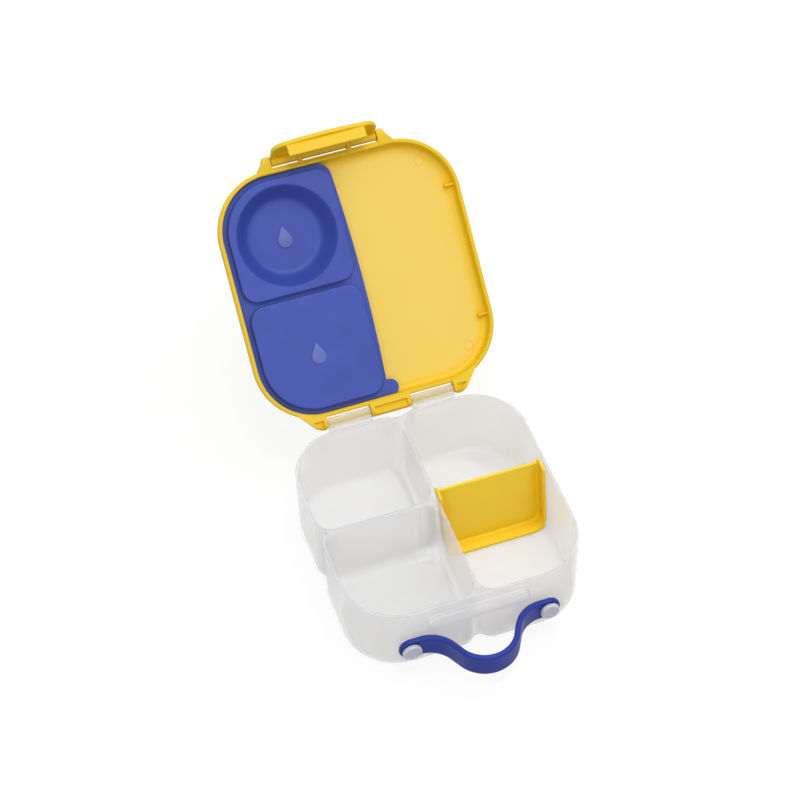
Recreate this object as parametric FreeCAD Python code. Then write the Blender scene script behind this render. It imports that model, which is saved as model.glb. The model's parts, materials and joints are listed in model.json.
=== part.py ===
import FreeCAD, Part
import math
import os
from FreeCAD import Vector

# A compartment lunch box, millimetres. Everything is built closed, about the middle of the tray,
# with +X to the right, +Y to the hinge and +Z up. The lid group is then swung open.

# Tray: three tubs with leaning walls that share their partitions
TRAY_SIDE = 159.6
TRAY_HEIGHT = 55.0
TRAY_CORNER = 36.6
WALL = 1.9
FLOOR = 2.4
WALL_LEAN = 0.7
PARTITION = 2.2
PARTITION_X = 1.6
PARTITION_Y = 0.6
TUB_CORNER = 11.0
FOOT_FILLET = 6.5
FLOOR_FILLET = 4.0
RIM_ROUND = 0.5
RIDGE_DEPTH = 8.0
NOTCH_DEPTH = 5.0
WEB_FOOT = 8.0
GROOVE_DEPTH = 10.5
VALLEY_DEPTH = 4.8
VALLEY_R = 6.0
VALLEY_HALF = 3.8
VALLEY_FOOT = 5.0
REAR_VALLEY_DEPTH = 3.5
REAR_VALLEY_R = 12.0
REAR_VALLEY_HALF = 5.5
JUNCTION_REACH = 10.0
JUNCTION_PLATE = 3.0

# Catch ledge on the front wall, which the latch hooks under
CATCH_LENGTH = 68.0
CATCH_DROP = 7.5
CATCH_HEIGHT = 11.0
CATCH_PROUD = 2.8
CATCH_CORNER = 5.0
CATCH_FILLET = 1.0

# Lid shell
LID_GAP = 1.4
LID_LIP = 2.8
LID_OVERLAP = 4.0
LID_HEADROOM = 4.0
LID_PANEL = 2.2
LID_LEAN = 3.0
LID_TOP_FILLET = 3.2
CAVITY_FILLET = 3.5
LIP_ROUND = 1.2
LIP_CHAMFER = 0.5
SPACER_RIB_LENGTH = 6.5
SPACER_RIB_WIDTH = 1.6
SPACER_RIB_Y = 45.0
OPEN_ANGLE = 136.4

# Lid hinge at the rear
SKIRT_CLEAR = 1.05
HINGE_DROP = 1.6
BARREL_R = 3.25
BARREL_INNER = 14.4
BARREL_OUTER = 44.4
WEB_THICK = 4.2
WEB_NECK = 3.4
WEB_TANGENT = 37.0
WEB_CLEAR = 0.5
PIN_R = 1.5
PIN_RUNNING = 0.06
PIN_GRIP = 5.5
SIDE_PLAY = 0.4
EAR_R = 4.0
EAR_FLAT = 2.4
EAR_TRIM = 0.2
EAR_CORNER = 2.5
EAR_TIP_R = 8.0
EAR_TURN = 50.0
EAR_ROOT = 4.0
HINGE_POCKET = 2.0
HINGE_POCKET_WALL = 2.6
HINGE_POCKET_EDGE = 1.5
EAR_POCKET = 6.6

# Latch at the front of the lid
LATCH_SKIRT_CLEAR = 1.6
LATCH_SILL = 0.8
LATCH_DROP = 0.5
LATCH_HALF = 36.4
LATCH_TIP = 2.4
LATCH_CROWN = 2.0
LATCH_CORNER = 9.0
LATCH_THICK = 3.0
LATCH_ROUND = 0.8
LATCH_BORDER = 3.2
LATCH_RECESS = 1.4
LATCH_RECESS_ROUND = 1.1
LATCH_BARREL_R = 3.2
LATCH_BAR_HALF = 27.0
LATCH_BAR_THICK = 2.2
LATCH_BAR_CORNER = 0.9
LATCH_BAR_ROUND = 0.6
LATCH_SWING = 21.0
LATCH_PLAY = 0.3
CATCH_HOOK = 1.4
LATCH_PIN_R = 1.25
LATCH_PIN_GRIP = 4.0
LUG_X = 17.0
LUG_WIDTH = 2.6
SHOULDER_R = 4.0
SHOULDER_WIDTH = 5.0
SHOULDER_NECK = 4.0
SHOULDER_FLARE = 10.0

# Silicone seal in the lid over the two left tubs
SEAL_GAP = 0.3
SEAL_SEAT = 0.05
SEAL_BORDER = 0.9
SEAL_BOW = 2.8
SEAL_CORNER = 10.0
SEAL_SKIN = 2.0
PAD_CLEAR = 0.35
PAD_DEPTH = 4.0
PAD_LEAN = 2.0
PAD_FILLET = 1.0
TAB_R = 5.5
TAB_PROUD = 2.4
BOWL_BORDER = 4.5
BOWL_TAPER = 9.7
BOWL_DEPTH = 12.3
BOWL_WALL = 1.5
BOWL_FILLET = 5.0
BOWL_LIP = 0.8
BOWL_HOLE_CLEAR = 0.8
DROP_LENGTH = 15.0
DROP_R = 5.0
DROP_PROUD = 0.6
DROP_ROOT = 0.3
REAR_DROP_SHIFT = 1.2

# Lift-out divider in the right tub
DIVIDER_WALL = 1.8
DIVIDER_DEPTH = 11.0
DIVIDER_LEAN = 11.7
DIVIDER_FOOT_Y = 2.0
DIVIDER_CLEAR = 1.0
DIVIDER_SEAT = 0.2
DIVIDER_TAPER = 1.8
DIVIDER_CORNER = 9.0
DIVIDER_FILLET = 1.8
DIVIDER_TOP_DROP = 4.0
PRONG_DROP = 1.5
PRONG_ROUND = 0.7

# Carry strap and its studs on the front wall
STUD_X = 46.7
STUD_DROP = 31.5
STUD_HEAD_R = 6.4
STUD_HEAD = 2.6
STUD_ROUND = 0.7
STUD_RIM = 1.3
STUD_DISH = 0.5
STUD_DISH_ROUND = 0.4
STUD_SHANK_R = 1.5
STUD_SHANK = 4.2
BOSS_R = 3.5
SEAT_R = 6.5
STRAP_END = 15.6
STRAP_MIDDLE = 17.6
STRAP_THICK = 4.0
STRAP_STANDOFF = 0.8
STRAP_PLAY = 0.3
STRAP_BOW = 29.0
STRAP_FLAT = 6.0
STRAP_BEND_OUTER = 21.0
STRAP_BEND_WALL = 21.0

# Places that follow from the sizes above
HALF = TRAY_SIDE / 2
LID_HALF = HALF + LID_GAP + LID_LIP
LID_SIDE = 2 * LID_HALF
LID_CORNER = TRAY_CORNER + LID_GAP + LID_LIP
LEAN = math.tan(math.radians(WALL_LEAN))
LIP_Z = TRAY_HEIGHT - LID_OVERLAP
PANEL_Z = TRAY_HEIGHT + LID_HEADROOM
LID_TOP = PANEL_Z + LID_PANEL
HINGE = Vector(0, LID_HALF + SKIRT_CLEAR + BARREL_R, TRAY_HEIGHT - HINGE_DROP)
LATCH = Vector(0, -LID_HALF - LATCH_SKIRT_CLEAR - LATCH_BARREL_R, TRAY_HEIGHT - LATCH_DROP)
CATCH_TOP = TRAY_HEIGHT - CATCH_DROP
CATCH_BOTTOM = CATCH_TOP - CATCH_HEIGHT
BAR_TOP = CATCH_BOTTOM - LATCH_PLAY
BAR_BOTTOM = BAR_TOP - LATCH_BAR_THICK
STUD_Z = TRAY_HEIGHT - STUD_DROP
STRAP_BACK = -HALF + STUD_DROP * LEAN - STRAP_STANDOFF
STRAP_FRONT = STRAP_BACK - STRAP_THICK
SEAL_FACE = TRAY_HEIGHT + SEAL_GAP
PAD_FACE = TRAY_HEIGHT - PAD_DEPTH
BOWL_FLOOR = PAD_FACE + BOWL_DEPTH
MARGIN = 1.0
EDGE_TOLERANCE = 1e-4

INNER = HALF - WALL
BIG_CORNER = TRAY_CORNER - WALL
LEFT_END = PARTITION_X - PARTITION / 2
RIGHT_START = PARTITION_X + PARTITION / 2
FRONT_END = PARTITION_Y - PARTITION / 2
REAR_START = PARTITION_Y + PARTITION / 2
# Each tub's opening at the rim: low corner, high corner, radii from the front-left corner round
REAR_LEFT = ((-INNER, REAR_START), (LEFT_END, INNER), (TUB_CORNER, TUB_CORNER, TUB_CORNER, BIG_CORNER))
FRONT_LEFT = ((-INNER, -INNER), (LEFT_END, FRONT_END), (BIG_CORNER, TUB_CORNER, TUB_CORNER, TUB_CORNER))
RIGHT = ((RIGHT_START, -INNER), (INNER, INNER), (TUB_CORNER, BIG_CORNER, BIG_CORNER, TUB_CORNER))
TUBS = (REAR_LEFT, FRONT_LEFT, RIGHT)
SEAL_EDGE = LEFT_END + SEAL_BORDER
BOWL_X = (LEFT_END - INNER) / 2
BOWL_Y = (FRONT_END - INNER) / 2
BOWL_R = min(LEFT_END + INNER, FRONT_END + INNER) / 2 - BOWL_BORDER
REAR_DROP_Y = (REAR_START + INNER) / 2 + REAR_DROP_SHIFT


def line(a, b):
    """Straight edge."""
    return Part.LineSegment(a, b).toShape()


def arc(a, b, c):
    """Round edge through three points."""
    return Part.Arc(a, b, c).toShape()


def box(x0, x1, y0, y1, z0, z1):
    """Block between two corners."""
    return Part.makeBox(x1 - x0, y1 - y0, z1 - z0, Vector(x0, y0, z0))


def rod_x(x0, x1, centre, radius):
    """Round bar along X about a point of the YZ plane."""
    return Part.makeCylinder(radius, x1 - x0, Vector(x0, centre.y, centre.z), Vector(1, 0, 0))


def rod_y(y0, y1, x, z, radius):
    """Round bar along Y."""
    return Part.makeCylinder(radius, y1 - y0, Vector(x, y0, z), Vector(0, 1, 0))


def bowed(a, b, bulge):
    """Round edge between two points of one level, bulging to the right of the way from a to b."""
    way = b - a
    side = Vector(way.y, -way.x, 0).normalize()
    return arc(a, (a + b) / 2 + side * bulge, b)


def prism(edges, along):
    """Solid swept straight from a closed flat outline."""
    return Part.Face(Part.Wire(Part.__sortEdges__(edges))).extrude(along)


def polygon(points, along):
    """Solid swept straight from a polygon."""
    return Part.Face(Part.makePolygon(list(points) + [points[0]])).extrude(along)


def mirrored(shape):
    """The same shape on the other side of X = 0."""
    return shape.mirror(Vector(0, 0, 0), Vector(1, 0, 0))


def both_sides(shape):
    """A shape and its mirror image."""
    return [shape, mirrored(shape)]


def rounded_outline(opening, grow, z):
    """Closed wire of a rectangle with its own radius at each corner, grown outwards."""
    (x0, y0), (x1, y1), radii = opening
    corners = ((x0, y0, 1, 1), (x1, y0, -1, 1), (x1, y1, -1, -1), (x0, y1, 1, -1))
    arcs = []
    for turn, (x, y, to_x, to_y) in enumerate(corners):
        centre = Vector(x + to_x * radii[turn], y + to_y * radii[turn], z)
        radius = radii[turn] + grow
        spots = []
        for angle in (180, 225, 270):
            heading = math.radians(angle + 90 * turn)
            spots.append(centre + Vector(math.cos(heading), math.sin(heading), 0) * radius)
        arcs.append(spots)
    edges = []
    for here, after in zip(arcs, arcs[1:] + arcs[:1]):
        edges.append(arc(*here))
        edges.append(line(here[2], after[0]))
    return Part.Wire(edges)


def drafted(opening, z_low, grow_low, z_high, grow_high):
    """Solid between two grown copies of one outline."""
    wires = [rounded_outline(opening, grow_low, z_low), rounded_outline(opening, grow_high, z_high)]
    return Part.makeLoft(wires, True, True)


def edges_at(shape, z):
    """Edges that lie wholly at one height."""
    return [e for e in shape.Edges if all(abs(v.Z - z) < EDGE_TOLERANCE for v in e.Vertexes)]


def front_edges(shape, y):
    """Edges that lie wholly in one plane facing forwards."""
    return [e for e in shape.Edges if all(abs(v.Y - y) < EDGE_TOLERANCE for v in e.Vertexes)]


def square_opening(side, corner):
    """Opening about the middle of the box with four like corners."""
    return ((-side / 2, -side / 2), (side / 2, side / 2), (corner,) * 4)


def tub_body(opening, grow, z_low, z_high, fillet):
    """One tub's space, grown, with walls that lean in towards a rounded foot."""
    low = grow - (TRAY_HEIGHT - z_low) * LEAN
    high = grow - (TRAY_HEIGHT - z_high) * LEAN
    body = drafted(opening, z_low, low, z_high, high)
    return body.makeFillet(fillet, edges_at(body, z_low))


def make_hinge_webs():
    """The tray's two hinge barrels, on webs that pass under the lid's skirt."""
    web_top = LIP_Z - WEB_CLEAR
    skirt = LID_HALF + WEB_CLEAR
    inside = HALF - WALL
    tangent = math.radians(WEB_TANGENT)
    under = HINGE + Vector(0, math.cos(tangent), -math.sin(tangent)) * BARREL_R
    profile = [
        Vector(BARREL_INNER, inside, web_top - WEB_THICK),
        Vector(BARREL_INNER, inside, web_top),
        Vector(BARREL_INNER, skirt, web_top),
        Vector(BARREL_INNER, HINGE.y, HINGE.z),
        Vector(BARREL_INNER, under.y, under.z),
        Vector(BARREL_INNER, skirt, web_top - WEB_NECK),
    ]
    web = polygon(profile, Vector(BARREL_OUTER - BARREL_INNER, 0, 0))
    barrel = web.fuse(rod_x(BARREL_INNER, BARREL_OUTER, HINGE, BARREL_R))
    return both_sides(barrel)


def make_catch():
    """Raised ledge along the front wall."""
    opening = (
        (-CATCH_LENGTH / 2, CATCH_BOTTOM),
        (CATCH_LENGTH / 2, CATCH_TOP),
        (CATCH_CORNER,) * 4,
    )
    face = Part.Face(rounded_outline(opening, 0, 0))
    face.rotate(Vector(0, 0, 0), Vector(1, 0, 0), 90)
    front = -HALF - CATCH_PROUD
    face.translate(Vector(0, front, 0))
    ledge = face.extrude(Vector(0, CATCH_PROUD + WALL + NOTCH_DEPTH, 0))
    return ledge.makeFillet(CATCH_FILLET, front_edges(ledge, front))


def make_stud_bosses():
    """Posts on the front wall that carry the strap."""
    bosses = []
    for side in (-1, 1):
        seat = STRAP_BACK + STRAP_PLAY
        bosses.append(rod_y(seat, -INNER, side * STUD_X, STUD_Z, SEAT_R))
        bosses.append(rod_y(STRAP_FRONT - STRAP_PLAY, -INNER, side * STUD_X, STUD_Z, BOSS_R))
    return bosses


def partitions(end, z_low):
    """The two walls between the tubs, each as far as a groove in the outside, up to the rim."""
    along_x = box(-end, PARTITION_X, FRONT_END, REAR_START, z_low, TRAY_HEIGHT)
    along_y = box(LEFT_END, RIGHT_START, -end, end, z_low, TRAY_HEIGHT)
    return [along_x, along_y]


def make_valley(side, depth, radius, half, z_high):
    """Fills the groove between two tubs at the front or rear, up to a shallow round hollow."""
    rise = radius - math.sqrt(radius ** 2 - half ** 2)
    height = z_high - VALLEY_FOOT
    wall = side * (HALF - (TRAY_HEIGHT - z_high) * LEAN)
    inside = wall - side * (GROOVE_DEPTH + MARGIN)
    hollow = wall - side * depth
    left = Vector(PARTITION_X - half, hollow + side * rise, z_high)
    right = Vector(PARTITION_X + half, hollow + side * rise, z_high)
    left_inside = Vector(left.x, inside, z_high)
    right_inside = Vector(right.x, inside, z_high)
    edges = [arc(left, Vector(PARTITION_X, hollow, z_high), right), line(right, right_inside)]
    edges += [line(right_inside, left_inside), line(left_inside, left)]
    return prism(edges, Vector(0, -side * height * LEAN, -height))


def make_bridges():
    """What joins the three tubs: the partitions, their junction, and the wall behind the catch."""
    ridge_end = HALF - NOTCH_DEPTH
    ridges = partitions(ridge_end, TRAY_HEIGHT - RIDGE_DEPTH)
    webs = partitions(HALF - GROOVE_DEPTH, WEB_FOOT)
    low_y = PARTITION_Y - JUNCTION_REACH
    high_y = PARTITION_Y + JUNCTION_REACH
    plate_low = TRAY_HEIGHT - JUNCTION_PLATE
    junction = box(PARTITION_X - JUNCTION_REACH, PARTITION_X, low_y, high_y, plate_low, TRAY_HEIGHT)
    reach = TUB_CORNER + WALL + PARTITION
    wall_foot = -HALF + (TRAY_HEIGHT - CATCH_BOTTOM) * LEAN
    front = [
        Vector(PARTITION_X - reach, -HALF + RIM_ROUND, TRAY_HEIGHT),
        Vector(PARTITION_X - reach, -HALF, TRAY_HEIGHT - RIM_ROUND),
        Vector(PARTITION_X - reach, wall_foot, CATCH_BOTTOM),
        Vector(PARTITION_X - reach, -ridge_end, CATCH_BOTTOM),
        Vector(PARTITION_X - reach, -ridge_end, TRAY_HEIGHT),
    ]
    valleys = [
        make_valley(-1, VALLEY_DEPTH, VALLEY_R, VALLEY_HALF, CATCH_BOTTOM + MARGIN),
        make_valley(1, REAR_VALLEY_DEPTH, REAR_VALLEY_R, REAR_VALLEY_HALF, TRAY_HEIGHT),
    ]
    return ridges + webs + valleys + [junction, polygon(front, Vector(2 * reach, 0, 0))]


def make_tray():
    """Three tubs joined at their partitions, with the hinge barrels, catch and strap posts."""
    cups = []
    for tub in TUBS:
        cup = tub_body(tub, WALL, 0, TRAY_HEIGHT, FOOT_FILLET)
        cups.append(cup.makeFillet(RIM_ROUND, edges_at(cup, TRAY_HEIGHT)))
    fittings = make_hinge_webs() + [make_catch()] + make_stud_bosses()
    body = cups[0].fuse(cups[1:] + make_bridges() + fittings)
    for tub in TUBS:
        rim = TRAY_HEIGHT - RIM_ROUND
        mouth = drafted(tub, rim, -RIM_ROUND * LEAN, TRAY_HEIGHT + MARGIN, RIM_ROUND + MARGIN)
        body = body.cut([tub_body(tub, 0, FLOOR, TRAY_HEIGHT + MARGIN, FLOOR_FILLET), mouth])
    bores = both_sides(rod_x(BARREL_INNER - MARGIN, BARREL_OUTER + MARGIN, HINGE, PIN_R + PIN_RUNNING))
    for side in (-1, 1):
        end = STRAP_FRONT - STRAP_PLAY
        bores.append(rod_y(end, end + STUD_SHANK, side * STUD_X, STUD_Z, STUD_SHANK_R))
    return body.cut(bores).removeSplitter()


def lid_cavity(inset, z_low):
    """Space under the lid's panel, drawn in by a gap, with its rounded upper edge."""
    top = PANEL_Z
    lean = math.tan(math.radians(LID_LEAN))
    opening = square_opening(LID_SIDE, LID_CORNER)
    low = -LID_LIP - inset - (z_low - LIP_Z) * lean
    high = -LID_LIP - inset - (top - LIP_Z) * lean
    body = drafted(opening, z_low, low, top, high)
    return body.makeFillet(CAVITY_FILLET - inset, edges_at(body, top))


def hinge_profile(axis, radius, wall_y, low_z):
    """Side outline of an ear: round about an axis, and flat from there to the lid's wall."""
    toward = 1 if wall_y > axis.y else -1
    bend = axis.y + toward * EAR_FLAT
    return [
        arc(
            Vector(0, axis.y, axis.z + radius),
            Vector(0, axis.y - toward * radius, axis.z),
            Vector(0, axis.y, axis.z - radius),
        ),
        line(Vector(0, axis.y, axis.z - radius), Vector(0, bend, axis.z - radius)),
        line(Vector(0, bend, axis.z - radius), Vector(0, wall_y, low_z)),
        line(Vector(0, wall_y, low_z), Vector(0, wall_y, axis.z + radius)),
        line(Vector(0, wall_y, axis.z + radius), Vector(0, axis.y, axis.z + radius)),
    ]


def hinge_slice(profile, x0, x1):
    """Slice of a hinge ear between two X places."""
    body = prism(profile, Vector(x1 - x0, 0, 0))
    body.translate(Vector(x0, 0, 0))
    return body


def make_lid_ears():
    """Rear ears and middle block that hold the hinge pins."""
    root = LID_HALF - LID_LIP - EAR_ROOT
    profile = hinge_profile(HINGE, EAR_R, root, LIP_Z)
    inner = BARREL_OUTER + SIDE_PLAY
    end = HINGE.y + EAR_R - EAR_TRIM
    bend = EAR_CORNER * (1 - math.sqrt(0.5))
    turn = math.radians(EAR_TURN)
    heel = Vector(inner, end - EAR_CORNER, 0)
    crest = Vector(inner + EAR_CORNER, end, 0)
    tip = crest + Vector(math.sin(turn / 2), math.cos(turn / 2) - 1, 0) * EAR_TIP_R
    waist = crest + Vector(math.sin(turn), math.cos(turn) - 1, 0) * EAR_TIP_R
    toe = Vector(waist.x + (waist.y - root) / math.tan(turn), root, 0)
    foot = Vector(inner, root, 0)
    outline = [
        line(foot, heel),
        arc(heel, Vector(inner + bend, end - bend, 0), crest),
        arc(crest, tip, waist),
        line(waist, toe),
        line(toe, foot),
    ]
    plan = prism(outline, Vector(0, 0, LID_TOP))
    ear = hinge_slice(profile, inner, toe.x).common(plan)
    block = BARREL_INNER - SIDE_PLAY
    return both_sides(ear) + [hinge_slice(profile, -block, block)]


def ear_pockets():
    """Moulded pockets in the underside of the ears and the block."""
    low = HINGE.z - EAR_R - MARGIN
    depth = Vector(0, 0, HINGE_POCKET + MARGIN)
    near_y = LID_HALF + HINGE_POCKET_EDGE
    far_y = HINGE.y + EAR_R - HINGE_POCKET_EDGE
    near_x = BARREL_OUTER + SIDE_PLAY + HINGE_POCKET_WALL
    corners = [
        Vector(near_x, near_y, low),
        Vector(near_x + EAR_POCKET, near_y, low),
        Vector(near_x, far_y, low),
    ]
    block = BARREL_INNER - SIDE_PLAY - HINGE_POCKET_WALL
    middle = box(-block, block, near_y, far_y, low, low + depth.z)
    return both_sides(polygon(corners, depth)) + [middle]


def make_latch_mounts():
    """Front shoulders, the two small lugs that hold the latch pin, and the sill between them."""
    root = -LID_HALF + LID_LIP + EAR_ROOT
    profile = hinge_profile(LATCH, SHOULDER_R, root, LIP_Z)
    inner = LATCH_HALF + SIDE_PLAY + LATCH_PLAY
    tip = inner + SHOULDER_WIDTH
    foot = tip + SHOULDER_FLARE
    front = LATCH.y - SHOULDER_R - MARGIN
    outline = [
        Vector(inner, root, 0),
        Vector(inner, front, 0),
        Vector(tip - MARGIN, front, 0),
        Vector(tip + MARGIN, LATCH.y, 0),
        Vector(tip + SHOULDER_NECK, -LID_HALF - MARGIN, 0),
        Vector(foot, root, 0),
    ]
    plan = polygon(outline, Vector(0, 0, LID_TOP))
    shoulder = hinge_slice(profile, inner, foot).common(plan)
    lug_profile = hinge_profile(LATCH, LATCH_BARREL_R, root, LIP_Z)
    lug = hinge_slice(lug_profile, LUG_X - LUG_WIDTH / 2, LUG_X + LUG_WIDTH / 2)
    sill_low = LIP_Z + LIP_ROUND / 2
    sill = box(-inner, inner, -LID_HALF - LATCH_SILL, root, sill_low, LATCH.z)
    return both_sides(shoulder) + both_sides(lug) + [sill]


def bowl_radius(z):
    """Radius of the bowl's inside at a height."""
    return BOWL_R - BOWL_TAPER * (z - PAD_FACE) / BOWL_DEPTH


def bowl_body(z_low, z_high, grow):
    """Round tapering bowl space with a rounded end, grown outwards."""
    low_r = bowl_radius(z_low) + grow
    high_r = bowl_radius(z_high) + grow
    body = Part.makeCone(low_r, high_r, z_high - z_low, Vector(BOWL_X, BOWL_Y, z_low))
    return body.makeFillet(BOWL_FILLET + grow, edges_at(body, z_high))


def make_lid():
    """Skirted lid with its ears, latch shoulders and round opening for the bowl."""
    opening = square_opening(LID_SIDE, LID_CORNER)
    lean = math.tan(math.radians(LID_LEAN))
    shell = drafted(opening, LIP_Z, 0, LID_TOP, -(LID_TOP - LIP_Z) * lean)
    shell = shell.makeFillet(LID_TOP_FILLET, edges_at(shell, LID_TOP))
    shell = shell.makeFillet(LIP_ROUND, edges_at(shell, LIP_Z))
    cavity = lid_cavity(0, LIP_Z - MARGIN)
    inside = -LID_LIP - LIP_CHAMFER * lean
    mouth = drafted(opening, LIP_Z - MARGIN, inside + LIP_CHAMFER + MARGIN, LIP_Z + LIP_CHAMFER, inside)
    body = shell.fuse(make_lid_ears() + make_latch_mounts()).cut([cavity, mouth] + ear_pockets())
    hole_r = bowl_radius(PANEL_Z) + BOWL_WALL + BOWL_HOLE_CLEAR
    hole_low = Vector(BOWL_X, BOWL_Y, PANEL_Z - MARGIN)
    holes = [Part.makeCylinder(hole_r, LID_PANEL + 2 * MARGIN, hole_low)]
    pin_end = BARREL_OUTER + SIDE_PLAY + PIN_GRIP
    holes.append(rod_x(-pin_end, pin_end, HINGE, PIN_R))
    latch_end = LATCH_HALF + SIDE_PLAY + LATCH_PLAY + LATCH_PIN_GRIP
    holes.append(rod_x(-latch_end, latch_end, LATCH, LATCH_PIN_R))
    body = body.cut(holes)
    rib_out = LID_HALF - LID_LIP
    rib_in = rib_out - SPACER_RIB_LENGTH
    half = SPACER_RIB_WIDTH / 2
    ribs = []
    for y in (-SPACER_RIB_Y, SPACER_RIB_Y):
        ribs.append(box(rib_in, rib_out, y - half, y + half, SEAL_FACE, PANEL_Z + MARGIN))
    return body.fuse(ribs).removeSplitter()


def make_hinge_pins():
    """One pin through each hinge barrel, gripped by an ear and the block."""
    start = BARREL_INNER - SIDE_PLAY - PIN_GRIP
    end = BARREL_OUTER + SIDE_PLAY + PIN_GRIP
    right = rod_x(start, end, HINGE, PIN_R)
    return {"hinge_pin_left": mirrored(right), "hinge_pin_right": right}


def drop_outline(x, y, z):
    """Water-drop outline with its point towards the latch."""
    centre = Vector(x, y + DROP_LENGTH / 2 - DROP_R, z)
    point = Vector(x, y - DROP_LENGTH / 2, z)
    away = DROP_LENGTH - DROP_R
    angle = math.asin(DROP_R / away)
    right = centre + Vector(math.cos(angle), -math.sin(angle), 0) * DROP_R
    left = centre + Vector(-math.cos(angle), -math.sin(angle), 0) * DROP_R
    top = centre + Vector(0, DROP_R, 0)
    return [line(point, right), arc(right, top, left), line(left, point)]


def make_pad(tub):
    """Plug of the seal that enters one tub's opening."""
    lean = math.tan(math.radians(PAD_LEAN))
    high = SEAL_FACE + SEAL_SKIN
    depth = high - PAD_FACE
    body = drafted(tub, PAD_FACE, -PAD_CLEAR - depth * lean, high, -PAD_CLEAR)
    return body.makeFillet(PAD_FILLET, edges_at(body, PAD_FACE))


def make_pad_hollow(tub):
    """Space behind a pad, which leaves a skin of silicone."""
    lean = math.tan(math.radians(PAD_LEAN))
    low = PAD_FACE + SEAL_SKIN
    high = PANEL_Z + MARGIN
    grow = -PAD_CLEAR - SEAL_SKIN
    return drafted(tub, low, grow - (high - low) * lean, high, grow)


def bowl_mouth(shape):
    """Round edge where the bowl opens in the face of its plug."""
    middle = Vector(BOWL_X, BOWL_Y, PAD_FACE)
    rings = []
    for edge in edges_at(shape, PAD_FACE):
        if all(abs((v.Point - middle).Length - BOWL_R) < EDGE_TOLERANCE for v in edge.Vertexes):
            rings.append(edge)
    return rings


def make_seal():
    """Silicone seal: a flange in the lid, a plug for each left tub, a bowl, drop marks and a tab."""
    cavity = lid_cavity(SEAL_GAP, SEAL_FACE)
    end = LID_HALF - LID_LIP - SEAL_GAP - (SEAL_FACE - LIP_Z) * math.tan(math.radians(LID_LEAN))
    bend = SEAL_CORNER * (1 - math.sqrt(0.5))
    far = -LID_SIDE
    start = Vector(SEAL_EDGE - SEAL_CORNER, -end, 0)
    turn = Vector(SEAL_EDGE, -end + SEAL_CORNER, 0)
    finish = Vector(SEAL_EDGE, end, 0)
    edge = [
        line(Vector(far, -end, 0), start),
        arc(start, Vector(SEAL_EDGE - bend, -end + bend, 0), turn),
        bowed(turn, finish, SEAL_BOW),
        line(finish, Vector(far, end, 0)),
        line(Vector(far, end, 0), Vector(far, -end, 0)),
    ]
    tall = Vector(0, 0, LID_TOP)
    tab = Part.makeCylinder(TAB_R, LID_TOP, Vector(SEAL_EDGE + TAB_PROUD, end - TAB_R + MARGIN, 0))
    flange = cavity.common(prism(edge, tall).fuse(tab))
    seat = box(-LID_SIDE, LID_SIDE, -LID_SIDE, LID_SIDE, PANEL_Z - SEAL_SEAT, LID_TOP)
    pads = [make_pad(tub) for tub in (REAR_LEFT, FRONT_LEFT)]
    body = flange.fuse(pads).cut([seat] + [make_pad_hollow(tub) for tub in (REAR_LEFT, FRONT_LEFT)])
    dome = bowl_body(PAD_FACE + SEAL_SKIN / 2, BOWL_FLOOR + BOWL_WALL, BOWL_WALL)
    body = body.fuse(dome).cut(bowl_body(PAD_FACE - MARGIN, BOWL_FLOOR, 0))
    body = body.makeFillet(BOWL_LIP, bowl_mouth(body))
    tall_drop = Vector(0, 0, -DROP_PROUD - DROP_ROOT)
    drops = []
    for y, z in ((BOWL_Y, BOWL_FLOOR), (REAR_DROP_Y, PAD_FACE)):
        drops.append(prism(drop_outline(BOWL_X, y, z + DROP_ROOT), tall_drop))
    return body.fuse(drops).removeSplitter()


def latch_outline(inset, y):
    """Front outline of the latch flap, drawn in all round."""
    half = LATCH_HALF - inset
    corner = LATCH_CORNER - inset
    tip = BAR_BOTTOM - LATCH_TIP + inset
    side = tip + LATCH_CROWN + corner
    bottom = tip + LATCH_CROWN
    bend = corner * (1 - math.sqrt(0.5))
    top = LATCH.z
    right = [
        Vector(half, y, top),
        Vector(half, y, side),
        Vector(half - bend, y, bottom + bend),
        Vector(half - corner, y, bottom),
    ]
    left = [Vector(-p.x, p.y, p.z) for p in right]
    return [
        line(left[0], right[0]),
        line(right[0], right[1]),
        arc(right[1], right[2], right[3]),
        arc(right[3], Vector(0, y, tip), left[3]),
        arc(left[3], left[2], left[1]),
        line(left[1], left[0]),
    ]


def latch_rim(shape, y):
    """Edges of the latch's outline in one plane, apart from the one at the pin."""
    return [e for e in front_edges(shape, y) if e.CenterOfMass.z < LATCH.z - LATCH_ROUND]


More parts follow.
